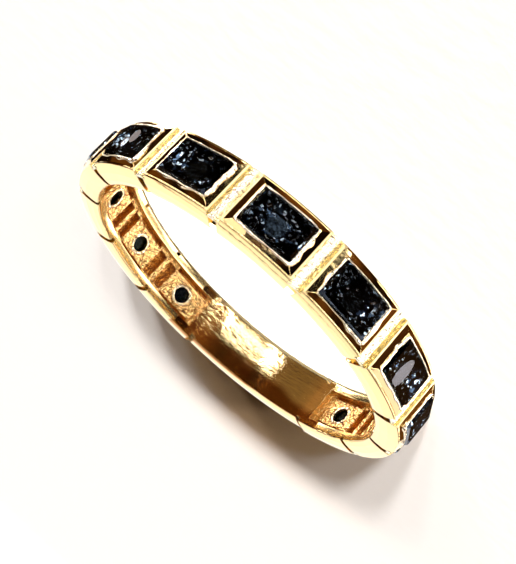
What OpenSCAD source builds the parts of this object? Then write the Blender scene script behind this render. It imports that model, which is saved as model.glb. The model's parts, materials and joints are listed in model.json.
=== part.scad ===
// Eternity ring: one cast band of twelve bezel links and a plain shank, set with twelve cut stones
// Millimetres. The finger bore runs along +Z, and the ring rests on z = 0.
// The plain shank is centred on -Y and the row of stones on +Y.

/* [Bore] */
// Inside diameter, about a ladies' size 6 1/2
bore_d = 17; // [16:0.25:20]

/* [Band] */
// Overall width along the bore
band_w = 2.94; // [2.8:0.02:3.1]
// Wall from the bore to the tops of the link frames
frame_wall = 1.29; // [1.25:0.01:1.4]
// Wall of the plain shank
shank_wall = 1.10; // [1.08:0.01:1.2]
// How far each side of the plain shank lies inside the links' sides
shank_step = 0.09; // [0.05:0.01:0.12]
// How far each side wall bulges beyond its outer edge
side_bulge = 0.12; // [0.1:0.005:0.12]
// Where that bulge is widest, as a share of the wall counted from the bore
bulge_at = 0.42; // [0.42:0.02:0.5]
// Width of the worn flat on each bulged side
side_flat = 0.45; // [0.3:0.05:0.6]
// Rounding of the outer edges
outer_round = 0.08; // [0.05:0.01:0.12]
// Rounding of the bore's edges
inner_round = 0.10; // [0.05:0.01:0.15]

/* [Links] */
// Equal divisions round the ring, two of them left plain
divisions = 14; // [14:1:16]
// Gap between neighbouring links, at their tops
gap_w = 0.66; // [0.5:0.02:0.8]
// Depth of that gap at its two edges, below the link tops
gap_depth = 0.24; // [0.2:0.01:0.3]
// Depth of the cross bar's crest below the link tops
bar_drop = 0.09; // [0.06:0.01:0.14]
// Width of the flat along that crest
bar_flat = 0.10; // [0.04:0.02:0.16]
// Width of a side slit at its outer end
slit_outer_w = 0.44; // [0.3:0.02:0.5]
// Width of a side slit at the bore
slit_inner_w = 0.26; // [0.16:0.02:0.3]
// How deep a side slit is at its outer end
slit_outer_depth = 0.36; // [0.3:0.01:0.4]
// How deep a side slit is at the bore
slit_inner_depth = 0.26; // [0.2:0.01:0.3]

/* [Bezels] */
// Rise of each frame from its outer edge to the window over the stone
bevel_rise = 0.10; // [0.06:0.01:0.13]
// Margin left outside that bevel, at the link's ends and sides
bevel_margin = 0.05; // [0.05:0.01:0.09]
// Flat left between the bevel and the window
bevel_crest = 0.03; // [0.02:0.01:0.05]
// Window over the stone, along the band
window_l = 2.88; // [2.8:0.02:2.92]
// Window over the stone, across the band
window_w = 1.98; // [1.9:0.02:2]

/* [Hollow inside] */
// Width of the channel between the two rims
channel_w = 1.96; // [1.8:0.02:2]
// Depth of the channel below the bore
channel_depth = 0.34; // [0.25:0.01:0.4]
// Depth of the pockets beside each block, below the bore
pocket_depth = 0.70; // [0.5:0.01:0.75]
// Width of the web between two pockets
web_w = 0.28; // [0.24:0.02:0.44]
// Length of the block behind each stone, along the band
block_l = 2.46; // [2.3:0.02:2.7]
// Width of that block, across the band
block_w = 1.50; // [1.4:0.02:1.56]
// Depth of the moats on the block's long sides, below the bore
moat_depth = 0.56; // [0.4:0.01:0.6]
// Diameter of the hole behind each stone
hole_d = 0.88; // [0.7:0.02:1]
// How much further the plain stretch of the bore is polished out than the two rims
polish = 0.01; // [0.01:0.01:0.04]

/* [Stones] */
// Girdle length, along the band
stone_l = 3.06; // [2.98:0.02:3.08]
// Girdle width, across the band
stone_w = 2.14; // [2.08:0.02:2.16]
// Height of the table above the link tops
table_rise = 0.19; // [0.15:0.01:0.24]
// Leg of the cut corners at the girdle
corner_cut = 0.16; // [0.12:0.01:0.24]
// Gap between a stone and its seat
seat_gap = 0.03; // [0.02:0.005:0.04]

/* [Hidden] */
$fn = 96;
stones = 12;
ri = bore_d / 2;
ro = ri + frame_wall;
rs = ri + shank_wall;
pitch = 360 / divisions;
over = 0.5;

// Angle from the middle of the first to the middle of the last stone, and the channel's reach past each
row = (stones - 1) * pitch;
reach = (block_l / 2 + 0.19) / (ri + channel_depth) * 180 / PI;

// Side walls: an arc that is widest at dome_x and falls to the outer edge, cut by the worn flat
dome_x = ri + bulge_at * frame_wall;
dome_r = (pow(ro - dome_x, 2) + pow(side_bulge, 2)) / (2 * side_bulge);
crest = band_w / 2 + dome_r - sqrt(pow(dome_r, 2) - pow(side_flat / 2, 2));
dome_y = crest - dome_r;

// Facet tiers of a stone from the table down to the keel, measured from the table and the girdle
// [depth below the table, inset of the long half, inset of the short half, share of the corner cut]
TIERS = [
    [0.00, 0.26, 0.22, 0.85],
    [0.24, 0.07, 0.06, 0.95],
    [0.42, 0.00, 0.00, 1.00],
    [0.48, 0.00, 0.00, 1.00],
    [0.72, 0.33, 0.27, 0.85],
    [0.90, 0.79, 0.63, 0.60],
    [1.00, 1.20, 1.03, 0.00]
];
table_h = ro + table_rise;
window_floor = table_h - TIERS[2][0];
hole_top = table_h - TIERS[5][0];

// Angle of stone i, counted from 1 at the +X end of the row
function stone_angle(i) = 90 + (i - (stones + 1) / 2) * pitch;

// Angle of boundary i, with 0 before the first link and 12 after the last
function gap_angle(i) = 90 + (i - stones / 2) * pitch;

// Puts its children on the ring's mid-plane in a link's own frame: x along the band, y across, z outward
module at_angle(a) {
    translate([0, 0, band_w / 2])
        rotate([0, 0, a])
            rotate([90, 0, 90])
                children();
}

// Half sizes of a stone at one tier: along the band, across it, and square to the cut corners
function half_long(t) = stone_l / 2 - t[1];
function half_short(t) = stone_w / 2 - t[2];
function half_corner(t) = (half_long(t) + half_short(t) - corner_cut * t[3]) / sqrt(2);

// Unit normal that points outward from the edge a to b, which runs counter-clockwise
function edge_normal(a, b) = [b[1] - a[1], a[0] - b[0]] / norm(b - a);

// Moves the corner b so that the edges from a and on to c both lie g further out
function grown_corner(a, b, c, g) =
    let (n = edge_normal(a, b), m = edge_normal(b, c))
    b + (n + m) * g / (1 + n * m);

// Closed outline from half sizes and levels given top down, each edge g further out
function outline(halves, g) =
    let (
        last = len(halves) - 1,
        left = [for (i = [0 : last]) [-halves[i], table_h - TIERS[i][0]]],
        right = [for (i = [last : -1 : 0]) [halves[i], table_h - TIERS[i][0]]],
        p = concat(left, right),
        count = len(p)
    )
    [for (i = [0 : count - 1]) grown_corner(p[(i + count - 1) % count], p[i], p[(i + 1) % count], g)];

// A long prism of facets whose outline is turned about the stone's axis
module facet_prism(halves, turn, g) {
    rotate([90, 0, turn])
        linear_extrude(height = 6, center = true)
            polygon(outline(halves, g));
}

// A cut stone in a link's frame, each face g outside its true place
module gem(g = 0) {
    intersection() {
        facet_prism([for (t = TIERS) half_long(t)], 0, g);
        facet_prism([for (t = TIERS) half_short(t)], 90, g);
        facet_prism([for (t = TIERS) half_corner(t)], 45, g);
        facet_prism([for (t = TIERS) half_corner(t)], -45, g);
    }
}

// Half section of the ring: a flat-topped dome on each side, x outward and y along the bore,
// with both sides drawn in by a step
module ring_section(r_out, step) {
    difference() {
        intersection() {
            translate([ri, step - band_w / 2])
                square([r_out - ri, band_w - 2 * step]);
            translate([dome_x, dome_y - step])
                circle(r = dome_r);
            translate([dome_x, step - dome_y])
                circle(r = dome_r);
        }
        edge_cuts(r_out, step);
        mirror([0, 1])
            edge_cuts(r_out, step);
    }
}

// What comes off the outer and the inner edge of one side
module edge_cuts(r_out, step) {
    edge_cut(r_out - outer_round, outer_round, 1, dome_y - step);
    edge_cut(ri + inner_round, inner_round, -1, dome_y - step);
}

// A corner between a straight wall and the domed side, rounded by r about the centre [x, y],
// with the dome's own centre at a height
module edge_cut(x, r, out, height) {
    y = height + sqrt(pow(dome_r - r, 2) - pow(x - dome_x, 2));
    d = [x - dome_x, y - height] / (dome_r - r);
    difference() {
        polygon([
            [x, y],
            [x + out * 3 * r, y],
            [x + out * 3 * r, y + 3 * r],
            [x + d[0] * 3 * r, y + d[1] * 3 * r]
        ]);
        translate([x, y])
            circle(r = r);
    }
}

// The plain hoop before anything is cut: the links' arc, and the slimmer shank
module hoop() {
    translate([0, 0, band_w / 2]) {
        rotate([0, 0, gap_angle(0)])
            rotate_extrude(angle = stones * pitch)
                ring_section(ro, 0);
        rotate([0, 0, gap_angle(stones)])
            rotate_extrude(angle = 360 - stones * pitch)
                ring_section(rs, shank_step);
    }
}

// The gap between two links, cut from outside down to the cross bar's ridge
module gap_cut() {
    rotate([90, 0, 0])
        linear_extrude(height = 2 * band_w, center = true)
            polygon([
                [-gap_w / 2, ro - gap_depth],
                [-bar_flat / 2, ro - bar_drop],
                [bar_flat / 2, ro - bar_drop],
                [gap_w / 2, ro - gap_depth],
                [gap_w / 2, ro + 1],
                [-gap_w / 2, ro + 1]
            ]);
}

// A tapered slit in one side wall, cut from the bore to just below the cross bar
module side_slit() {
    low = ri - 0.2;
    top = ro - gap_depth - 0.04;
    intersection() {
        rotate([-90, 0, 0])
            linear_extrude(height = band_w)
                polygon([
                    [-slit_inner_w / 2, -low],
                    [slit_inner_w / 2, -low],
                    [slit_outer_w / 2, -top],
                    [-slit_outer_w / 2, -top]
                ]);
        rotate([90, 0, 90])
            linear_extrude(height = 1, center = true)
                polygon([
                    [band_w / 2 - slit_inner_depth, low],
                    [band_w, low],
                    [band_w, top],
                    [band_w / 2 - slit_outer_depth, top]
                ]);
    }
}

// The raised frame round one stone: sloped ends from a prism, sloped sides from a turned ring
module frame_bevel(a) {
    crest_r = ro + bevel_rise;
    foot_l = ro * sin(pitch / 2) - gap_w / 2 - bevel_margin;
    crest_l = window_l / 2 + bevel_crest;
    foot_w = crest - side_bulge - bevel_margin;
    crest_w = window_w / 2 + bevel_crest;
    foot_h = sqrt(pow(ro, 2) - pow(foot_l, 2));
    crest_h = sqrt(pow(crest_r, 2) - pow(crest_l, 2));
    slope = (crest_h - foot_h) / (foot_l - crest_l);
    peak_h = foot_h + slope * foot_l;
    intersection() {
        at_angle(a)
            rotate([90, 0, 0])
                linear_extrude(height = 4, center = true)
                    polygon([
                        [-foot_l - 0.1, foot_h - 0.1 * slope],
                        [-foot_l - 0.1, ri + 0.8],
                        [foot_l + 0.1, ri + 0.8],
                        [foot_l + 0.1, foot_h - 0.1 * slope],
                        [0, peak_h]
                    ]);
        translate([0, 0, band_w / 2])
            rotate([0, 0, a - pitch / 2])
                rotate_extrude(angle = pitch)
                    polygon([
                        [ri + 0.8, -foot_w],
                        [ro - 0.015, -foot_w],
                        [crest_r, -crest_w],
                        [crest_r, crest_w],
                        [ro - 0.015, foot_w],
                        [ri + 0.8, foot_w]
                    ]);
    }
}

// Outline of the window over a stone, its corners cut like the stone's
module window_outline() {
    l = window_l / 2;
    w = window_w / 2;
    c = corner_cut;
    polygon([
        [l, -w + c], [l, w - c], [l - c, w], [-l + c, w],
        [-l, w - c], [-l, -w + c], [-l + c, -w], [l - c, -w]
    ]);
}

// Everything cut out of one link: the stone's seat, the window over it and the hole behind it
module seat_cut() {
    gem(seat_gap);
    translate([0, 0, window_floor])
        linear_extrude(height = 2)
            window_outline();
    translate([0, 0, ri - 1])
        cylinder(d = hole_d, h = hole_top - ri + 1);
}

// The hollow behind the links, as seen from the bore
module hollow() {
    translate([0, 0, band_w / 2])
        rotate([0, 0, stone_angle(1) - reach])
            rotate_extrude(angle = row + 2 * reach)
                translate([ri - over, -channel_w / 2])
                    square([over + channel_depth, channel_w]);
    difference() {
        translate([0, 0, band_w / 2])
            rotate([0, 0, stone_angle(1)])
                rotate_extrude(angle = row)
                    translate([ri - over, -block_w / 2])
                        square([over + pocket_depth, block_w]);
        for (i = [1 : stones])
            at_angle(stone_angle(i))
                translate([-block_l / 2, -block_w, ri + 0.01])
                    cube([block_l, 2 * block_w, 1]);
        for (i = [1 : stones - 1])
            at_angle(gap_angle(i))
                translate([-web_w / 2, -block_w, ri + 0.01])
                    cube([web_w, 2 * block_w, 1]);
    }
    for (i = [1 : stones], s = [-1, 1])
        at_angle(stone_angle(i))
            translate([-block_l / 2 + 0.1, s * (channel_w + block_w) / 4 - (channel_w - block_w) / 4, ri])
                cube([block_l - 0.2, (channel_w - block_w) / 2, moat_depth]);
}

// What polishing takes off the plain stretch of the bore, just into the channel's ends
module bore_polish() {
    start = stone_angle(stones) + reach - 0.3;
    rotate([0, 0, start])
        rotate_extrude(angle = 360 - row - 2 * reach + 0.6)
            translate([ri - over, -over])
                square([over + polish, band_w + 2 * over]);
}

module band() {
    color([0.86, 0.66, 0.30])
        difference() {
            union() {
                hoop();
                for (i = [1 : stones])
                    frame_bevel(stone_angle(i));
            }
            for (i = [1 : stones])
                at_angle(stone_angle(i))
                    seat_cut();
            for (i = [0 : stones])
                at_angle(gap_angle(i)) {
                    gap_cut();
                    side_slit();
                    mirror([0, 1, 0])
                        side_slit();
                }
            hollow();
            bore_polish();
        }
}

module stone(i) {
    color([0.05, 0.07, 0.16])
        at_angle(stone_angle(i))
            gem();
}

band();
stone(1);  // stone_01
stone(2);  // stone_02
stone(3);  // stone_03
stone(4);  // stone_04
stone(5);  // stone_05
stone(6);  // stone_06
stone(7);  // stone_07
stone(8);  // stone_08
stone(9);  // stone_09
stone(10);  // stone_10
stone(11);  // stone_11
stone(12);  // stone_12
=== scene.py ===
"""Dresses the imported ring: cast and polished gold, hand-pushed bezel lips, cut stones and a small studio.

The frame is in metres. Sizes of the ring, in the panel and in the functions below, are in millimetres, and
MM brings them to metres where a mesh is made. The floor's radius and the lights' distance are in metres. A
link's own frame has x along the band, y across it and z outward from the bore's axis, as the part has.
"""

import json
import math
from types import SimpleNamespace

import bpy
import numpy as np
from mathutils import Matrix, Vector


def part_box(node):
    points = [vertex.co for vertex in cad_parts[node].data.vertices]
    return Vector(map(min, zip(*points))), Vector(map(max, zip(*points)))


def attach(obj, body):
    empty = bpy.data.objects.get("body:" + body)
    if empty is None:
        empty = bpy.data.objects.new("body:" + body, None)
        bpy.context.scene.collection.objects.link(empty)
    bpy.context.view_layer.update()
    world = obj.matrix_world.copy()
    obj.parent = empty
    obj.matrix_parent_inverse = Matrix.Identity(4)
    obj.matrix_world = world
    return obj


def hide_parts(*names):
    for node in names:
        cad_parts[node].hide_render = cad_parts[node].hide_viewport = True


bl_info = {
    "name": "Eternity ring finish",
    "version": (1, 0, 0),
    "blender": (4, 5, 0),
    "location": "View3D > Sidebar > Ring",
    "description": "Gold, bezel lips, cut stones and a studio round the packed ring",
    "category": "Object",
}

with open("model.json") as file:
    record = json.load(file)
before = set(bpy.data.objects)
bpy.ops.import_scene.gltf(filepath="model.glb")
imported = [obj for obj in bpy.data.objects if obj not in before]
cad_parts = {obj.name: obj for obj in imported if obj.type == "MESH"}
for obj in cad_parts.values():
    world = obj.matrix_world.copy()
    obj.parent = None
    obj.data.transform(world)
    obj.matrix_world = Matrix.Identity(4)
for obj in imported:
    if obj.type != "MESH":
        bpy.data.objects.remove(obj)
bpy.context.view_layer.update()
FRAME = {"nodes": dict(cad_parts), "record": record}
MM = 0.001
STONES = sorted(name for name in FRAME["nodes"] if name.startswith("stone_"))

# The stone that faces +X gives the radius of all tables, and the band's box the height of its middle
FACING_X = max(STONES, key=lambda name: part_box(name)[1].x)
TABLE = (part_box(FACING_X)[1] / MM).x
BAND_LOW, BAND_HIGH = (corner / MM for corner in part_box("band"))
MIDDLE = (BAND_LOW.z + BAND_HIGH.z) / 2
BORE = FRAME["record"]["mounts"][0]["dims"]["r_mm"]

# A link step is a fourteenth of the turn: twelve links with stones and a plain stretch of two steps
PITCH = math.tau / 14
# Radius of a link frame's crest, and the length and width of its window
FRAME_CREST = 9.89
WINDOW = (2.88, 1.98)
# Radius at which widths along the band at a gap are taken
GAP_RADIUS = 9.6
# Points round a stone, the same in all its rows
ROUND_A_STONE = 24
# Each piece draws from its own generator, seeded with its number and one of these
LIP_SEED = 100
GEM_SEED = 200

# Where the gold's zones fade into each other, from and to: radii and distances in mm, angles in radians
BORE_SKIN = (BORE + 0.02, BORE + 0.03)
HOLLOW_STARTS = (BORE + 0.015, BORE + 0.03)
HOLLOW_ENDS = (9.25, 9.3)
CHANNEL_SIDE = (0.985, 0.995)
HOLLOW_DEEP = (8.9, 9.05)
BURR_FLOOR = (8.86, 8.90)
BURR_ROUND = (0.60, 0.68)
PLAIN_ENDS = (0.60, 0.62)
WORN_ENDS = (0.28, 0.42)
WORN_SIDE = (-0.10, 0.20)
DIM_SIDE = (1.1, 1.7)
DIM_END = (-0.25, 0.05)
STRIP_STARTS = (-0.64, -0.62)
STRIP_ENDS = (0.0, 0.1)
STRIP_LEVEL = (2.78, 2.80)
ROW_STARTS = (0.40, 0.42)
BAR_FOOT = (9.5, 9.52)
BAR_TOP = (9.74, 9.76)
RIDGE_FOOT = (9.76, 9.77)
RIDGE_TOP = (9.797, 9.80)
# The same as shares of a link step, from the middle of a gap
BAR_SIDE = tuple(width / (GAP_RADIUS * PITCH) for width in (0.33, 0.36))
RIDGE_SIDE = (0.115, 0.12)
CREST_SIDE = (0.022, 0.058)
CREST_LEAN = 0.018
# Distance of the middle of a rim of the bore from the band's middle, and half the width that is rounded
RIM_MIDDLE = 1.17
RIM_HALF = 0.2
# Height that the wear of the plain bore reaches, and the outer radius of the painted warm reflection on its
# upper side where it starts
WORN_HEIGHT = 1.9
STRIP_RADIUS = 8.93
# Radius of the painted patch for the light seen through the drilled hole behind a stone, and the depth where
# a stone's pavilion starts
HOLE_LIGHT_PATCH = (0.44, 0.48)
BELOW_GIRDLE = (0.485, 0.49)

# Golds beside the three of the panel
CLOUD_GOLD = (0.98, 0.80, 0.46)
BURR_GOLD = (1.0, 0.88, 0.60)
BAR_GOLD = (0.92, 0.80, 0.46)
# Painted highlight on the cross bars' crests
CREST_HIGHLIGHT_GOLD = (1.0, 0.92, 0.74)
SPECK_GOLD = (0.66, 0.50, 0.22)
# Painted shade at the darkest end of the plain bore's upper side
SHADED_GOLD = (0.24, 0.07, 0.006)
# Painted warm reflection on the plain bore's upper side
WARM_REFLECTION_GOLD = (0.52, 0.23, 0.05)
# Golds of the pushed edges, paler as a painted highlight
LIP_GOLDS_AND_HIGHLIGHT = ((0.98, 0.82, 0.58), (0.99, 0.90, 0.74))
# Noises in the gold, with their scale per mm, detail and roughness: grains and lumps as cast, specks, a fine
# skin, the waves that a buff leaves, and clouds of tone
GOLD_NOISES = {
    "grains": (7.5, 1.0, 0.5),
    "lumps": (4.2, 1.5, 0.5),
    "specks": (8.0, 2.0, 0.6),
    "fine": (9.0, 2.0, 0.5),
    "waves": (1.1, 2.0, 0.5),
    "tone": (0.8, 2.0, 0.5),
}
# Colour of what a stone's surface reflects
SHEEN = (0.55, 0.72, 1.0)

# The point that the camera faces and its distance from there
AIM = (0.653, 2.483, MIDDLE)
CAMERA_DISTANCE = 51.70
# The lamp over the bore: its height above the band's middle in metres, and the radius that it lights there
SPOT_HEIGHT = 0.3
SPOT_REACH = 8.9
SPOT_POWER = 8.0

# Depth below the table, half length, half width and cut corner of a stone's rows, down to its girdle
CROWN_ROWS = [
    (0.00, 1.27, 0.85, 0.136),
    (0.24, 1.46, 1.01, 0.152),
    (0.42, 1.53, 1.07, 0.16),
    (0.48, 1.53, 1.07, 0.16),
]
# Depth, half length, half width and play of the rows below the girdle
PAVILION_ROWS = [
    (0.58, 1.38, 0.95, 0.06),
    (0.67, 1.24, 0.85, 0.08),
    (0.76, 1.06, 0.71, 0.10),
    (0.83, 0.86, 0.58, 0.10),
    (0.90, 0.56, 0.44, 0.0),
]


def stone_angle(name):
    """Angle of a stone's middle round the bore, in radians, from its box."""
    low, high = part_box(name)
    middle = (low + high) / 2
    return math.atan2(middle.y, middle.x)


class RingSizes(bpy.types.PropertyGroup):
    """Sizes of the finish, in millimetres."""

    lip_width: bpy.props.FloatProperty(
        name="Lip width", description="Usual width of the pushed edge round a stone, in mm", default=0.20,
        min=0.02
    )
    lip_height: bpy.props.FloatProperty(
        name="Lip height", description="Usual height of that edge above its frame, in mm", default=0.045,
        min=0.005
    )
    edge_round: bpy.props.FloatProperty(
        name="Edge rounding", description="Radius that polishing leaves on the edges, in mm", default=0.03,
        min=0.0
    )


class GoldLook(bpy.types.PropertyGroup):
    """Colours of the gold."""

    polished: bpy.props.FloatVectorProperty(
        name="Polished gold", description="Colour of the polished gold", subtype="COLOR", size=3,
        default=(0.96, 0.72, 0.34), min=0.0, max=1.0
    )
    cast: bpy.props.FloatVectorProperty(
        name="Cast gold", description="Colour of the gold as cast, inside the links", subtype="COLOR", size=3,
        default=(0.90, 0.60, 0.24), min=0.0, max=1.0
    )
    # Deep gold: partly a real darker tone in random specks in the hollows, partly painted shade in the
    # hollows' deepest parts and on the plain bore's upper side
    tarnish_and_shade: bpy.props.FloatVectorProperty(
        name="Deep gold", description="Colour in the deepest recesses", subtype="COLOR", size=3,
        default=(0.62, 0.28, 0.07), min=0.0, max=1.0
    )


class StoneLook(bpy.types.PropertyGroup):
    """Colour and refraction of the stones."""

    body: bpy.props.FloatVectorProperty(
        name="Stone colour", description="Colour that light takes on through the crown", subtype="COLOR",
        size=3, default=(0.55, 0.64, 0.76), min=0.0, max=1.0
    )
    ior: bpy.props.FloatProperty(
        name="Refraction", description="Index of refraction of the stone", default=1.77, min=1.0, max=3.0
    )


class StageLook(bpy.types.PropertyGroup):
    """Floor, light and camera."""

    floor_radius: bpy.props.FloatProperty(
        name="Floor radius", description="Distance to the far end of the floor", default=2.0, min=0.1,
        subtype="DISTANCE", unit="LENGTH"
    )
    lens: bpy.props.FloatProperty(
        name="Lens", description="Focal length on a 36 mm wide sensor, in mm", default=72.514, min=10.0
    )
    distance: bpy.props.FloatProperty(
        name="Light distance", description="Distance from the ring to each softbox", default=0.4, min=0.05,
        subtype="DISTANCE", unit="LENGTH"
    )
    azimuth: bpy.props.FloatProperty(
        name="Camera side", description="Angle of the camera round the ring, from +X",
        default=math.radians(70.03), subtype="ANGLE", unit="ROTATION"
    )
    height: bpy.props.FloatProperty(
        name="Camera height", description="Angle of the camera above the horizon",
        default=math.radians(17.79), subtype="ANGLE", unit="ROTATION"
    )
    roll: bpy.props.FloatProperty(
        name="Roll", description="Turn of the camera about its line of sight", default=math.radians(-137.46),
        subtype="ANGLE", unit="ROTATION"
    )


class Wire:
    """A value socket that can be used in arithmetic; each operation adds its Math node."""

    def __init__(self, shader, socket):
        self.shader = shader
        self.socket = socket

    def math(self, operation, *values):
        inputs = dict(enumerate((self, *values)))
        return self.shader.add("ShaderNodeMath", {"operation": operation}, inputs)

    def __add__(self, other):
        return self.math("ADD", other)

    __radd__ = __add__

    def __sub__(self, other):
        return self.math("SUBTRACT", other)

    def __rsub__(self, other):
        return self.shader.add("ShaderNodeMath", {"operation": "SUBTRACT"}, {0: other, 1: self})

    def __mul__(self, other):
        return self.math("MULTIPLY", other)

    __rmul__ = __mul__

    def __truediv__(self, other):
        return self.math("DIVIDE", other)

    def __rtruediv__(self, other):
        return self.shader.add("ShaderNodeMath", {"operation": "DIVIDE"}, {0: other, 1: self})

    def __abs__(self):
        return self.math("ABSOLUTE")

    def above(self, low, high):
        """Smooth step: 0 up to low, 1 from high on."""
        settings = {"interpolation_type": "SMOOTHSTEP"}
        values = {"Value": self, "From Min": low, "From Max": high, "To Min": 0.0, "To Max": 1.0}
        return self.shader.add("ShaderNodeMapRange", settings, values)

    def below(self, low, high):
        """Smooth step the other way: 1 up to low, 0 from high on."""
        return 1 - self.above(low, high)


class Shader:
    """A material's or world's node tree, cleared and ready to be built."""

    def __init__(self, owner):
        owner.use_nodes = True
        self.tree = owner.node_tree
        self.tree.nodes.clear()

    def add(self, kind, settings=None, values=None, out=0):
        """Adds a node of a type, sets its settings, then its sockets' values or links; gives an output."""
        node = self.tree.nodes.new(kind)
        for name, value in (settings or {}).items():
            setattr(node, name, value)
        for name, value in (values or {}).items():
            if isinstance(value, Wire):
                self.tree.links.new(value.socket, node.inputs[name])
            else:
                node.inputs[name].default_value = value
        return Wire(self, node.outputs[out]) if node.outputs else None

    def split(self, vector):
        """The x, y and z of a vector."""
        node = self.tree.nodes.new("ShaderNodeSeparateXYZ")
        self.tree.links.new(vector.socket, node.inputs[0])
        return [Wire(self, node.outputs[i]) for i in range(3)]

    def join(self, x, y, z):
        """A vector from three values."""
        return self.add("ShaderNodeCombineXYZ", None, {0: x, 1: y, 2: z})

    def scaled(self, vector, scale):
        """A vector times a number."""
        return self.add("ShaderNodeVectorMath", {"operation": "SCALE"}, {0: vector, "Scale": scale})

    def mixed(self, factor, first, second):
        """A colour between two colours, each a colour or a wire.

        The node names its sockets alike for each kind of value. For colours they are 6, 7 and output 2."""
        node = self.tree.nodes.new("ShaderNodeMix")
        node.data_type = "RGBA"
        for index, value in ((0, factor), (6, first), (7, second)):
            if isinstance(value, Wire):
                self.tree.links.new(value.socket, node.inputs[index])
            else:
                node.inputs[index].default_value = value if index == 0 else (*value[:3], 1.0)
        return Wire(self, node.outputs[2])

    def coated(self, colour, coats):
        """A colour with others laid over it in turn, each with the share that it covers."""
        for share, coat in coats:
            colour = self.mixed(share, colour, coat)
        return colour

    def place(self):
        """The shaded point in its object's own frame, in mm."""
        return self.scaled(self.add("ShaderNodeTexCoord", out="Object"), 1 / MM)

    def noise(self, place, scale, detail=2.0, rough=0.5):
        """Soft noise between 0 and 1, its scale in features for each unit of the place."""
        values = {"Vector": place, "Scale": scale, "Detail": detail, "Roughness": rough}
        return self.add("ShaderNodeTexNoise", {"noise_dimensions": "3D"}, values)

    def cells(self, place, scale):
        """Three drawn values for each of many small cells."""
        values = {"Vector": place, "Scale": scale, "Randomness": 1.0}
        return self.split(self.add("ShaderNodeTexVoronoi", {"feature": "F1"}, values, "Color"))

    def bump(self, height, distance, strength=1.0, normal=None):
        """A normal from a height, which the distance brings to metres."""
        values = {"Height": height, "Distance": distance, "Strength": strength}
        if normal is not None:
            values["Normal"] = normal
        return self.add("ShaderNodeBump", None, values)

    def finish(self, values, kind="ShaderNodeBsdfPrincipled", output="ShaderNodeOutputMaterial"):
        """The closing shader node and the output node."""
        surface = self.add(kind, None, values)
        self.add(output, None, {"Surface": surface})


class RingPlace:
    """Where a shaded point lies: its radius, turn and height, and its place in the link it belongs to."""

    def __init__(self, shader):
        self.point = shader.place()
        x, y, self.z = shader.split(self.point)
        self.radius = (x * x + y * y).math("SQRT")
        self.turn = y.math("ARCTAN2", x)
        self.level = self.z - MIDDLE
        self.steps = (self.turn - math.pi / 2) / PITCH
        self.along = (self.steps - self.steps.math("FLOOR") - 0.5) * PITCH
        aside = self.radius * self.along.math("SINE")
        self.from_axis = (aside * aside + self.level * self.level).math("SQRT")


def gold_noises(shader, point, names):
    """Those of the gold's noises that are named, at a point in mm."""
    return SimpleNamespace(**{name: shader.noise(point, *GOLD_NOISES[name]) for name in names})


def band_noises(shader, at):
    """All the gold's noises, and three that run round the bore: hairlines, a slow wander and a mottle."""
    noise = gold_noises(shader, at.point, GOLD_NOISES)
    half_radius = at.radius * 0.5
    noise.hairs = shader.noise(shader.join(half_radius, at.turn * 2.0, at.z * 14.0), 1.0, 3.0, 0.7)
    noise.wander = shader.noise(shader.join(half_radius, at.turn * 4.0, at.z * 0.5), 1.0, 1.0)
    noise.mottle = shader.noise(shader.join(at.radius, at.turn * 9.0, at.z * 2.0), 1.0, 4.0, 0.7)
    return noise


def gold_zones(at, noise):
    """The zones of the band, most from 0 outside to 1 inside, with the distances that shape their surfaces.

    The hollow with painted shade in its deepest parts, and the burr round each hole; the plain bore, its worn
    slump, painted shade near its upper side and the darkest end of that, and a painted warm reflection on the
    upper side itself; the rims; and at each gap the cross bar, its flanks and the ridges beside it. Noises
    make the borders uneven."""
    across = abs(at.level)
    from_middle = at.turn + math.pi / 2
    from_back = abs(from_middle).math("PINGPONG", math.pi)
    on_bore = at.radius.below(*BORE_SKIN)
    in_row = from_back.above(*ROW_STARTS)

    hollow = at.radius.above(*HOLLOW_STARTS) * at.radius.below(*HOLLOW_ENDS) * across.below(*CHANNEL_SIDE)
    burr = hollow * at.radius.below(*BURR_FLOOR) * (at.from_axis + noise.lumps * 0.12).below(*BURR_ROUND)

    plain_bore = on_bore * from_back.below(*PLAIN_ENDS)
    elsewhere = 1 - plain_bore
    slump = (WORN_HEIGHT - at.z + (noise.wander - 0.5) * 1.2).math("MAXIMUM", 0.0)
    slump = slump * from_back.below(*WORN_ENDS) * from_middle.below(*WORN_SIDE)
    # Painted shade on the plain bore towards its upper side; the shaded gold paints its darkest end
    upper_shade = plain_bore * (at.z - noise.wander * 1.1).above(*DIM_SIDE)
    # A narrow painted warm reflection on the upper side of the plain stretch, by the bore
    strip = STRIP_RADIUS - at.radius - (from_middle + 0.6) * 0.45 + (noise.mottle - 0.5) * 0.06
    strip = strip.above(0.0, 0.03) * at.z.above(*STRIP_LEVEL)
    strip = strip * from_middle.above(*STRIP_STARTS) * from_middle.below(*STRIP_ENDS)

    beside = at.steps - at.steps.math("ROUND")
    gap = abs(beside)
    bar = gap.below(*BAR_SIDE) * at.radius.above(*BAR_FOOT) * at.radius.below(*BAR_TOP) * in_row
    ridge = gap.below(*RIDGE_SIDE) * at.radius.above(*RIDGE_FOOT) * at.radius.below(*RIDGE_TOP) * in_row
    return SimpleNamespace(
        hollow=hollow,
        deep_shade=hollow * at.radius.above(*HOLLOW_DEEP),
        burr=burr,
        plain_bore=plain_bore,
        elsewhere=elsewhere,
        slump=slump,
        upper_shade=upper_shade,
        shaded=upper_shade * from_middle.above(*DIM_END),
        strip=strip,
        rim=on_bore * elsewhere,
        from_rim=(across - RIM_MIDDLE).math("MINIMUM", RIM_HALF).math("MAXIMUM", -RIM_HALF),
        bar=bar,
        flank=bar * abs(beside - CREST_LEAN).above(*CREST_SIDE),
        beside=beside,
        gap=gap,
        ridge=ridge,
    )


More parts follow.
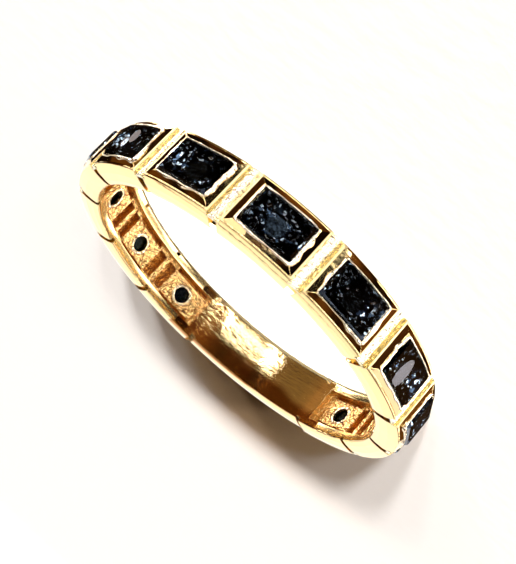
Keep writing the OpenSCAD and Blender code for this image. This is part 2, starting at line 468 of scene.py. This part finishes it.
def finish_gold(shader, sizes, height, colour, roughness):
    """Closes a gold shader: metal with softened edges and a surface height in mm."""
    rounded = shader.add("ShaderNodeBevel", {"samples": 6}, {"Radius": sizes.edge_round * MM})
    normal = shader.bump(height, MM, 1.0, rounded)
    shader.finish({"Base Color": colour, "Metallic": 1.0, "Roughness": roughness, "Normal": normal})


def band_material(look, sizes):
    """The band's gold: polished outside, as cast in the hollow links, grainy on the cross bars, and brushed
    and worn in the plain bore. Painted shade darkens the hollows' deepest parts and the plain bore towards
    its upper side, with a painted warm reflection on that side and a painted highlight on the bars' crests."""
    material = bpy.data.materials.new("band_gold")
    shader = Shader(material)
    at = RingPlace(shader)
    noise = band_noises(shader, at)
    zone = gold_zones(at, noise)
    worn = noise.hairs * 0.0022 + noise.mottle * 0.007 - zone.slump * 0.030 - zone.slump * zone.slump * 0.032
    # Heights in mm
    height = (
        zone.hollow * (noise.grains * 0.09 + noise.lumps * 0.12) + zone.burr * 0.04
        + zone.bar * (noise.grains * 0.06 + zone.gap * 1.3 + zone.beside * 0.35)
        + zone.plain_bore * worn
        + zone.plain_bore * zone.slump.above(0.0, 0.4) * noise.lumps * 0.009
        - zone.rim * zone.from_rim * zone.from_rim * 0.30
        + zone.elsewhere * (noise.waves * 0.010 + noise.fine * 0.001)
    )
    colour = shader.coated(look.polished, [
        (noise.tone * 0.25, CLOUD_GOLD),
        (zone.hollow * 0.8, look.cast),
        (zone.hollow * noise.specks.above(0.50, 0.62) * 0.7, look.tarnish_and_shade),
        (zone.burr * 0.8, BURR_GOLD),
        # Painted shade in the deepest parts of the hollows
        (zone.deep_shade * 0.9, look.tarnish_and_shade),
        (zone.bar * 0.8, BAR_GOLD),
        # Painted highlight on the cross bars' crests
        (zone.bar - zone.flank, CREST_HIGHLIGHT_GOLD),
        (zone.flank * noise.specks.above(0.55, 0.62), SPECK_GOLD),
        # Painted shade on the plain bore towards its upper side, darkest at one end
        (zone.upper_shade * 0.85, look.tarnish_and_shade),
        (zone.shaded * 0.8, SHADED_GOLD),
        # Painted warm reflection along the plain bore's upper side
        (zone.strip, WARM_REFLECTION_GOLD),
    ])
    brushed = noise.hairs * 0.04 + noise.mottle.above(0.35, 0.7) * zone.slump.above(0.0, 0.5) * 0.12
    roughness = (
        0.05 + zone.hollow * 0.17 + zone.bar * 0.20 + zone.ridge * 0.30 + zone.rim * 0.15
        + zone.plain_bore * brushed + noise.fine * 0.03
    )
    finish_gold(shader, sizes, height, colour, roughness)
    return material


def lip_material(sizes):
    """The hand-worked gold of the pushed edges, painted paler than the band's as a highlight."""
    material = bpy.data.materials.new("lip_gold")
    shader = Shader(material)
    noise = gold_noises(shader, shader.place(), ("grains", "waves", "tone", "fine"))
    height = noise.grains * 0.04 + noise.waves * 0.03
    finish_gold(shader, sizes, height, shader.mixed(noise.tone, *LIP_GOLDS_AND_HIGHLIGHT), 0.12 + noise.fine * 0.15)
    return material


def stone_material(look):
    """Clear stone over a dark metal pavilion, its facets painted grey-blue and a few near-white as inner
    reflections.

    The light seen through the drilled hole behind a stone is painted as a round grey patch in its middle."""
    material = bpy.data.materials.new("dark_blue_stone")
    shader = Shader(material)
    at = RingPlace(shader)
    pavilion = (TABLE - at.radius * at.along.math("COSINE")).above(*BELOW_GIRDLE)

    cloud = shader.noise(at.point, 1.5, 2.0)
    tint = shader.mixed(cloud.above(0.35, 0.7), look.body, [c * 1.3 for c in look.body])
    crown = shader.add("ShaderNodeBsdfPrincipled", None, {
        "Base Color": tint, "Roughness": 0.0, "IOR": look.ior, "Transmission Weight": 1.0,
        "Specular Tint": (*SHEEN, 1.0),
    })

    drawn = shader.cells(at.point, 4.2)
    glint_chips = shader.cells(at.point, 9.0)
    smoke = shader.noise(at.point, 6.0, 3.0)
    dark = shader.mixed(smoke.above(0.45, 0.68), (0.002, 0.002, 0.004), (0.012, 0.018, 0.030))
    # Painted light from the drilled hole behind the stone
    hole_light_patch = shader.mixed(smoke.above(0.38, 0.62), (0.012, 0.016, 0.022), (0.07, 0.09, 0.11))
    # The pavilion's colours are painted inner reflections: grey-blue facets and a few near-white ones, which
    # glint where they mirror a lamp
    colour = shader.coated(dark, [
        (drawn[0].above(0.72, 0.76), (0.085, 0.12, 0.17)),
        (glint_chips[1].above(0.80, 0.81), (0.88, 0.95, 1.0)),
        (at.from_axis.below(*HOLE_LIGHT_PATCH), hole_light_patch),
    ])
    facing = shader.bump(drawn[2] * 0.12 + glint_chips[0] * 0.06, MM)
    lower_values = {"Base Color": colour, "Metallic": 1.0, "Roughness": 0.14, "Normal": facing}
    lower = shader.add("ShaderNodeBsdfPrincipled", None, lower_values)
    both = shader.add("ShaderNodeMixShader", None, {0: pavilion, 1: crown, 2: lower})
    shader.add("ShaderNodeOutputMaterial", None, {"Surface": both})
    return material


def link_to_ring(points, angle):
    """Moves points from a link's frame, in mm, to the ring's frame, in metres.

    Along the band goes to the tangent, across to z, and outward to the radius at the angle."""
    tangent = np.array([-math.sin(angle), math.cos(angle), 0.0])
    radial = np.array([math.cos(angle), math.sin(angle), 0.0])
    axes = np.stack([tangent, [0.0, 0.0, 1.0], radial])
    return (points @ axes + [0.0, 0.0, MIDDLE]) * MM


def new_object(name, points, faces, smooth, material):
    """A mesh object at the scene's origin, with one material."""
    mesh = bpy.data.meshes.new(name)
    mesh.from_pydata(points.tolist(), [], faces)
    mesh.update()
    mesh.polygons.foreach_set("use_smooth", np.full(len(mesh.polygons), smooth))
    mesh.materials.append(material)
    made = bpy.data.objects.new(name, mesh)
    bpy.context.scene.collection.objects.link(made)
    return made


def make_piece(name, points, faces, smooth, material, node=None):
    """A mesh object that rides on the ring, and stands for a CAD node where one is named."""
    piece = new_object(name, points, faces, smooth, material)
    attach(piece, "root")
    if node:
        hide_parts(node)


def closed_tube_faces(rows, columns):
    """Quads of a grid that closes both ways, so that the surface is a closed tube."""
    i, j = np.meshgrid(np.arange(rows), np.arange(columns), indexing="ij")
    i2, j2 = (i + 1) % rows, (j + 1) % columns
    quads = [i * columns + j, i2 * columns + j, i2 * columns + j2, i * columns + j2]
    return np.stack(quads, -1).reshape(-1, 4).tolist()


def window_path(half_long, half_short, round_corner, count, per_corner=12):
    """Points and outward normals round a rectangle with rounded corners, evenly spaced.

    Each corner is a quarter circle about its centre, the four arcs are joined by straight sides, and the
    closed line is then read at equal steps of its length."""
    arcs = 4 * per_corner
    turn = np.linspace(0, math.tau, arcs, endpoint=False) + math.tau / (2 * arcs)
    centre_x = np.sign(np.cos(turn)) * (half_long - round_corner)
    centre_y = np.sign(np.sin(turn)) * (half_short - round_corner)
    line = np.stack([centre_x + round_corner * np.cos(turn), centre_y + round_corner * np.sin(turn)], 1)
    line = np.vstack([line, line[:1]])
    length = np.concatenate([[0], np.cumsum(np.linalg.norm(np.diff(line, axis=0), axis=1))])
    at = np.linspace(0, length[-1], count, endpoint=False)
    path = np.stack([np.interp(at, length, line[:, k]) for k in (0, 1)], 1)
    ahead = np.roll(path, -1, 0) - np.roll(path, 1, 0)
    ahead /= np.linalg.norm(ahead, axis=1, keepdims=True)
    return path, np.stack([ahead[:, 1], -ahead[:, 0]], 1)


def slow_wave(draw, count, waves):
    """A closed wavy line between about -1 and 1.

    It is a sum of whole waves round the path, with drawn sizes that fall with the square root of the number
    of waves and drawn phases, over the sum of the sizes and times the factor that widens it to about 1."""
    widen = 1.6
    at = np.linspace(0, math.tau, count, endpoint=False)[:, None]
    number = np.arange(1, waves + 1)
    size = draw.uniform(0.3, 1.0, waves) / number**0.5
    phase = draw.uniform(0, math.tau, waves)
    return (size * np.sin(at * number + phase)).sum(1) / np.abs(size).sum() * widen


def lip_points(sizes, draw, rows=176, columns=12):
    """The gold edge pushed over a stone, in a link's frame.

    A flattened half-round profile is carried round the window. Its widths to both sides and its height
    swing by slow waves about their usual sizes. Outside the window it sinks into the sloped frame, and
    inside it lies on the stone's crown, whose height falls with the distance from the table at a slope
    that is mixed between ends and sides."""
    corner = 0.13
    sunk, frame_slope, flat_crest = 0.02, 0.47, 0.03
    crown_drop, crown_slope, over_crown = 0.210, 1.50, 0.008
    path, outward = window_path(WINDOW[0] / 2, WINDOW[1] / 2, corner, rows)
    inner = (0.015 + 0.35 * sizes.lip_width * (0.4 + 0.6 * slow_wave(draw, rows, 21)).clip(0, 1))[:, None]
    outer = (0.025 + sizes.lip_width * (0.32 + 0.8 * slow_wave(draw, rows, 11)).clip(0, 1) ** 1.4)[:, None]
    high = (sizes.lip_height * (1 + 0.45 * slow_wave(draw, rows, 11)))[:, None]
    turn = np.linspace(0, math.tau, columns, endpoint=False)[None, :]
    reach = np.cos(turn)
    offset = np.where(reach > 0, reach * outer, reach * inner)
    x = path[:, :1] + outward[:, :1] * offset
    y = path[:, 1:] + outward[:, 1:] * offset

    crest = np.sqrt(FRAME_CREST**2 - np.clip(np.abs(x), None, WINDOW[0] / 2) ** 2)
    frame = crest - sunk - frame_slope * np.clip(offset - flat_crest, 0, None)
    ends = outward[:, :1] ** 2
    crown = TABLE - (crown_drop + 0.005 * ends) - (crown_slope - 0.24 * ends) * offset + over_crown
    base = np.where(offset > 0, frame, np.maximum(crown, frame - 0.1))
    at_edge = np.maximum(TABLE - crown_drop, crest)
    top = np.sin(turn).clip(0, 1) ** 0.7
    under = np.sin(turn).clip(-1, 0)
    z = base * (1 - top) + (at_edge + high) * top + under * 0.05
    return np.stack([x, y, z], -1).reshape(-1, 3), closed_tube_faces(rows, columns)


def step_outline(half_long, half_short, cut):
    """Points round a rectangle with cut corners, as many on each side with its ends, none on the cuts."""
    per_side = ROUND_A_STONE // 4
    step = np.linspace(-1, 1, per_side)
    long_side, short_side = (half_long - cut) * step, (half_short - cut) * step
    level = np.ones(per_side)
    x = np.concatenate([level * half_long, -long_side, -level * half_long, long_side])
    y = np.concatenate([short_side, level * half_short, -short_side, -level * half_short])
    return x, y


def pavilion_outline(half_long, half_short, shift):
    """Points round an oval that is nearly a rectangle, at equal steps of angle, shifted by part of one."""
    turn = (np.arange(ROUND_A_STONE) + 0.5 + shift) * math.tau / ROUND_A_STONE - math.tau / 8
    x = np.sign(np.cos(turn)) * np.abs(np.cos(turn)) ** 0.5 * half_long
    y = np.sign(np.sin(turn)) * np.abs(np.sin(turn)) ** 0.5 * half_short
    return x, y


def gem_shape(draw):
    """A cut stone in a link's frame: a table, a stepped crown and a girdle with flat sides, and below it
    rows of small triangles, each row half a step round from the last, down to a flat culet.

    Points of the lower rows are drawn a little inward, so that no two facets face quite the same way."""
    count = ROUND_A_STONE
    rows = []
    for depth, long_half, short_half, cut in CROWN_ROWS:
        x, y = step_outline(long_half, short_half, cut)
        rows.append(np.stack([x, y, np.full(count, TABLE - depth)], 1))
    for row, (depth, long_half, short_half, play) in enumerate(PAVILION_ROWS):
        x, y = pavilion_outline(long_half, short_half, 0.5 * ((row + 1) % 2))
        inward = 1 - play * draw.random(count)
        lift = 0.4 * play * draw.random(count)
        rows.append(np.stack([x * inward, y * inward, TABLE - depth + lift], 1))
    here = np.arange(count)
    after = (here + 1) % count
    faces = [here.tolist()]
    for row in range(len(rows) - 1):
        top, low = row * count, (row + 1) * count
        below_girdle = row - len(CROWN_ROWS) + 1
        if below_girdle < 0:
            faces += np.stack([top + here, low + here, low + after, top + after], 1).tolist()
        elif below_girdle % 2 == 0:
            faces += np.stack([top + here, low + here, top + after], 1).tolist()
            faces += np.stack([top + after, low + here, low + after], 1).tolist()
        else:
            faces += np.stack([top + here, low + here, low + after], 1).tolist()
            faces += np.stack([top + here, low + after, top + after], 1).tolist()
    faces.append((len(rows) * count - 1 - here).tolist())
    return np.vstack(rows), faces


def floor_shape(radius, flat_rows=3, swept_rows=20, columns=96):
    """A round floor whose rim sweeps up: flat to half its radius, then a quarter of an ellipse."""
    flat = np.linspace(0.0, 0.5, flat_rows + 1)[1:]
    turn = np.linspace(0, math.pi / 2, swept_rows + 1)[1:]
    out = np.concatenate([flat, 0.5 + 0.5 * np.sin(turn)]) * radius
    up = np.concatenate([np.zeros(flat_rows), 0.6 * (1 - np.cos(turn))]) * radius
    angle = np.linspace(0, math.tau, columns, endpoint=False)
    ring = np.stack([out[:, None] * np.cos(angle), out[:, None] * np.sin(angle), up[:, None] + 0 * angle], -1)
    points = np.vstack([[[0.0, 0.0, 0.0]], ring.reshape(-1, 3)])
    j = np.arange(columns)
    k = (j + 1) % columns
    faces = np.stack([0 * j, 1 + j, 1 + k], 1).tolist()
    for row in range(len(out) - 1):
        low, high = 1 + row * columns, 1 + (row + 1) * columns
        faces += np.stack([low + j, high + j, high + k, low + k], 1).tolist()
    return points, faces


# The lights that the gold and the stones show: name, shape, angle from +X and height above the horizon,
# width and height, all in degrees, radiance and colour
SOFTBOXES = [
    ("wall", "RECTANGLE", -108, 12, 76, 56, 1.32, (1.0, 1.0, 0.97)),
    ("sky_front", "RECTANGLE", 98, 64, 60, 18, 0.8, (1.0, 0.95, 0.85)),
    ("sky", "RECTANGLE", -112, 56, 50, 30, 1.25, (1.0, 1.0, 0.97)),
    ("sky_left", "RECTANGLE", 150, 62, 30, 34, 0.9, (1.0, 0.98, 0.94)),
    ("sky_right", "RECTANGLE", 8, 60, 40, 36, 0.9, (1.0, 0.98, 0.94)),
    ("strip_front", "RECTANGLE", 90, 43, 50, 10, 0.5, (0.97, 0.94, 1.0)),
    ("strip_middle", "RECTANGLE", 86, 28, 20, 7, 1.4, (1.0, 0.95, 0.97)),
    ("strip_left", "RECTANGLE", 100.5, 21.5, 10, 11, 1.3, (1.0, 0.97, 0.92)),
    ("strip_right", "RECTANGLE", -26, 17, 36, 32, 1.2, (0.97, 0.94, 1.0)),
    ("edge_front", "RECTANGLE", 90, -5.5, 58, 4, 10.0, (1.0, 0.98, 0.93)),
    ("edge_left", "RECTANGLE", 150, -5.5, 58, 4, 10.0, (1.0, 0.98, 0.93)),
    ("edge_right", "RECTANGLE", 30, -5.5, 58, 4, 10.0, (1.0, 0.98, 0.93)),
    ("edge_far_right", "RECTANGLE", -30, -5.5, 58, 4, 10.0, (1.0, 0.98, 0.93)),
    ("pane_1", "ELLIPSE", 172, -21.5, 12, 6, 23.0, (1.0, 0.99, 0.95)),
    ("pane_2", "ELLIPSE", 116, -22.0, 12, 6, 17.0, (1.0, 0.99, 0.95)),
    ("pane_3", "ELLIPSE", 59, -22.0, 12, 6, 17.0, (1.0, 0.99, 0.95)),
    ("pane_4", "ELLIPSE", 2, -21.5, 12, 6, 17.0, (1.0, 0.99, 0.95)),
    ("pane_5", "ELLIPSE", -53, -20.5, 12, 6, 23.0, (1.0, 0.99, 0.95)),
    ("under_front", "RECTANGLE", 89, -27.0, 44, 10, 3.2, (1.0, 1.0, 0.97)),
    ("under_low", "RECTANGLE", 100, -38.0, 90, 11, 0.35, (1.0, 0.93, 0.75)),
    ("glow_left", "RECTANGLE", 148, -13.8, 60, 7.5, 0.22, (1.0, 0.62, 0.25)),
    ("glow_right", "RECTANGLE", -35, -12.2, 60, 8.5, 0.8, (1.0, 0.85, 0.5)),
    ("glow_front", "RECTANGLE", 88, -13.8, 60, 7.5, 0.05, (1.0, 0.50, 0.12)),
    ("under_right", "RECTANGLE", -20, -30, 70, 9, 8.0, (1.0, 0.98, 0.92)),
    ("under_left", "RECTANGLE", 187, -32, 36, 12, 12.0, (1.0, 0.98, 0.92)),
    ("lens_right", "ELLIPSE", -26.7, -18.8, 0.56, 1.9, 3.8, (1.0, 0.80, 0.68)),
    ("lens_left_low", "ELLIPSE", -164.45, -18.0, 0.24, 0.7, 1.3, (1.0, 0.80, 0.68)),
    ("lens_left", "ELLIPSE", -164.64, -18.6, 0.30, 0.9, 1.5, (1.0, 0.80, 0.68)),
]
# The lamps that light the floor alone: name, angle from +X, height and size in degrees, strength and colour
FLOOR_LAMPS = [
    ("key_1", 79, 7, 3, 11.21, (1.0, 0.98, 0.97)),
    ("key_2", 86, 7, 3, 8.41, (1.0, 0.98, 0.97)),
    ("key_3", 72, 7, 3, 4.06, (1.0, 0.98, 0.97)),
    ("key_4", 93, 7, 3, 2.10, (1.0, 0.98, 0.97)),
    ("low_1", 58, 5, 3, 3.33, (1.0, 0.64, 0.36)),
    ("low_2", 107, 7, 3, 2.24, (1.0, 0.64, 0.36)),
    ("low_3", 65, 7, 3, 1.26, (1.0, 0.64, 0.36)),
    ("low_4", 100, 7, 3, 1.26, (1.0, 0.64, 0.36)),
    ("low_5", 51, 5, 3, 0.98, (1.0, 0.64, 0.36)),
    ("fill", 90, 80, 60, 0.05, (1.0, 0.36, 0.05)),
]


def toward(azimuth, height):
    """Unit vector from the ring at an angle from +X and a height above the horizon, in degrees."""
    a, h = math.radians(azimuth), math.radians(height)
    return Vector((math.cos(h) * math.cos(a), math.cos(h) * math.sin(a), math.sin(h)))


def add_light(name, kind, azimuth, height, distance, power, colour=(1.0, 1.0, 1.0)):
    """A light that faces the ring's middle from a direction and isn't seen itself."""
    direction = toward(azimuth, height)
    data = bpy.data.lights.new(name, kind)
    data.energy = power
    data.color = colour
    light = bpy.data.objects.new(name, data)
    light.location = Vector((0, 0, MIDDLE * MM)) + direction * distance
    light.rotation_euler = direction.to_track_quat("Z", "Y").to_euler()
    light.visible_camera = False
    bpy.context.scene.collection.objects.link(light)
    return light


def add_softboxes(distance):
    """The lights that the gold and the stones show. Each is as large as its angles ask for, and its power
    follows from its radiance and area."""
    for name, shape, azimuth, height, wide, tall, radiance, colour in SOFTBOXES:
        size, size_y = (2 * distance * math.tan(math.radians(angle / 2)) for angle in (wide, tall))
        area = size * size_y * (math.pi / 4 if shape == "ELLIPSE" else 1.0)
        light = add_light(name, "AREA", azimuth, height, distance, radiance * math.pi * area, colour)
        light.data.shape = shape
        light.data.size = size
        light.data.size_y = size_y
        light.visible_diffuse = False


def add_floor_lamps(distance):
    """The lamps that light the floor, which neither the gold nor the stones show."""
    lamps = []
    for name, azimuth, height, wide, strength, colour in FLOOR_LAMPS:
        lamp = add_light(name, "SUN", azimuth, height, distance, strength, colour)
        lamp.data.angle = math.radians(wide)
        lamps.append(lamp)
    spot = add_light("through_bore", "SPOT", 0, 90, SPOT_HEIGHT, SPOT_POWER)
    spot.data.spot_size = 2 * math.atan(SPOT_REACH * MM / SPOT_HEIGHT)
    spot.data.spot_blend = 0.0
    spot.data.shadow_soft_size = 0.001
    for lamp in (*lamps, spot):
        lamp.visible_glossy = False
        lamp.visible_transmission = False


def add_floor(radius):
    """The floor, which only the camera sees."""
    points, faces = floor_shape(radius)
    floor = new_object("floor", points, faces, True, floor_material())
    for ray in ("diffuse", "glossy", "transmission", "volume_scatter", "shadow"):
        setattr(floor, "visible_" + ray, False)


def add_camera(scene, look):
    """The camera, placed by its side, height and distance from the point that it faces, then rolled."""
    data = bpy.data.cameras.new("camera")
    data.lens = look.lens
    data.sensor_width = 36.0
    data.clip_start = 0.001
    camera = bpy.data.objects.new("camera", data)
    back = toward(math.degrees(look.azimuth), math.degrees(look.height))
    level = Vector((0, 0, 1)).cross(back).normalized()
    up = back.cross(level)
    turn_cos, turn_sin = math.cos(look.roll), math.sin(look.roll)
    right = turn_cos * level + turn_sin * up
    up = turn_cos * up - turn_sin * level
    place = Vector(AIM) * MM + back * CAMERA_DISTANCE * MM
    camera.matrix_world = Matrix.Translation(place) @ Matrix((right, up, back)).transposed().to_4x4()
    scene.collection.objects.link(camera)
    scene.camera = camera


def floor_material():
    """Matt pale paper with a barely uneven tone."""
    material = bpy.data.materials.new("pale_paper")
    shader = Shader(material)
    tone = shader.noise(shader.add("ShaderNodeTexCoord", out="Object"), 900.0, 3.0)
    colour = shader.mixed(tone, (0.90, 0.90, 0.89), (0.93, 0.93, 0.92))
    normal = shader.bump(tone, 0.00002, 0.4)
    shader.finish({"Base Color": colour, "Roughness": 0.9, "Specular IOR Level": 0.0, "Normal": normal})
    return material


def set_room(scene):
    """A dark warm room for the ring to reflect, with uneven brown walls and many small far lamps.

    The floor takes no light from it and the camera doesn't see it."""
    world = bpy.data.worlds.new("room")
    shader = Shader(world)
    place = shader.add("ShaderNodeTexCoord", out="Generated")
    walls = shader.noise(place, 3.0, 2.0)
    colour = shader.mixed(walls.above(0.42, 0.66), (0.004, 0.0015, 0.0005), (0.15, 0.055, 0.012))
    cells = shader.tree.nodes.new("ShaderNodeTexVoronoi")
    shader.tree.links.new(place.socket, cells.inputs["Vector"])
    cells.inputs["Scale"].default_value = 8.0
    lamp_round, lit_cells = (0.10, 0.13), (0.85, 0.851)
    near, drawn = Wire(shader, cells.outputs["Distance"]), Wire(shader, cells.outputs["Color"])
    lamps = near.below(*lamp_round) * shader.split(drawn)[0].above(*lit_cells)
    colour = shader.mixed(lamps, colour, (9.0, 9.0, 9.0))
    shader.finish({"Color": colour, "Strength": 1.0}, "ShaderNodeBackground", "ShaderNodeOutputWorld")
    scene.world = world
    world.cycles_visibility.diffuse = False
    world.cycles_visibility.camera = False


class RING_OT_finish_gold(bpy.types.Operator):
    """Gives the cast band its gold"""

    bl_idname = "ring.finish_gold"
    bl_label = "Finish the gold"

    def execute(self, context):
        settings = context.scene
        materials = FRAME["nodes"]["band"].data.materials
        materials.clear()
        materials.append(band_material(settings.ring_gold, settings.ring_sizes))
        return {"FINISHED"}


class RING_OT_push_lips(bpy.types.Operator):
    """Pushes a thin gold edge over each stone"""

    bl_idname = "ring.push_lips"
    bl_label = "Push the bezel edges"

    def execute(self, context):
        sizes = context.scene.ring_sizes
        gold = lip_material(sizes)
        for number, name in enumerate(STONES, 1):
            draw = np.random.default_rng(LIP_SEED + number)
            points, faces = lip_points(sizes, draw)
            place = link_to_ring(points, stone_angle(name))
            make_piece(f"lip_{number:02d}", place, faces, True, gold)
        return {"FINISHED"}


class RING_OT_cut_stones(bpy.types.Operator):
    """Cuts a faceted stone in place of each plain one"""

    bl_idname = "ring.cut_stones"
    bl_label = "Cut the stones"

    def execute(self, context):
        glass = stone_material(context.scene.ring_stones)
        for number, name in enumerate(STONES, 1):
            draw = np.random.default_rng(GEM_SEED + number)
            points, faces = gem_shape(draw)
            place = link_to_ring(points, stone_angle(name))
            make_piece(f"gem_{number:02d}", place, faces, False, glass, name)
        return {"FINISHED"}


class RING_OT_set_stage(bpy.types.Operator):
    """Sets the floor, the lights, the world and the camera"""

    bl_idname = "ring.set_stage"
    bl_label = "Set the stage"

    def execute(self, context):
        scene = context.scene
        look = scene.ring_stage
        add_floor(look.floor_radius)
        add_softboxes(look.distance)
        add_floor_lamps(look.distance)
        set_room(scene)
        add_camera(scene, look)
        scene.view_settings.view_transform = "Standard"
        return {"FINISHED"}


STEPS = (RING_OT_finish_gold, RING_OT_push_lips, RING_OT_cut_stones, RING_OT_set_stage)
GROUPS = {
    "ring_sizes": RingSizes,
    "ring_gold": GoldLook,
    "ring_stones": StoneLook,
    "ring_stage": StageLook,
}


class RING_PT_finish(bpy.types.Panel):
    """Lists the steps and their settings in the sidebar."""

    bl_idname = "RING_PT_finish"
    bl_label = "Eternity ring"
    bl_space_type = "VIEW_3D"
    bl_region_type = "UI"
    bl_category = "Ring"

    def draw(self, context):
        for step in STEPS:
            self.layout.operator(step.bl_idname)
        for name in GROUPS:
            group = getattr(context.scene, name)
            box = self.layout.box()
            for setting in group.bl_rna.properties:
                if setting.identifier not in ("rna_type", "name"):
                    box.prop(group, setting.identifier)


def register():
    for kind in (*GROUPS.values(), *STEPS, RING_PT_finish):
        bpy.utils.register_class(kind)
    for name, kind in GROUPS.items():
        setattr(bpy.types.Scene, name, bpy.props.PointerProperty(type=kind))


def unregister():
    for name in GROUPS:
        delattr(bpy.types.Scene, name)
    for kind in (RING_PT_finish, *reversed(STEPS), *reversed(GROUPS.values())):
        bpy.utils.unregister_class(kind)


def main():
    """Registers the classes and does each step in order."""
    register()
    for step in STEPS:
        group, operator = step.bl_idname.split(".")
        getattr(getattr(bpy.ops, group), operator)()


if __name__ == "__main__":
    main()
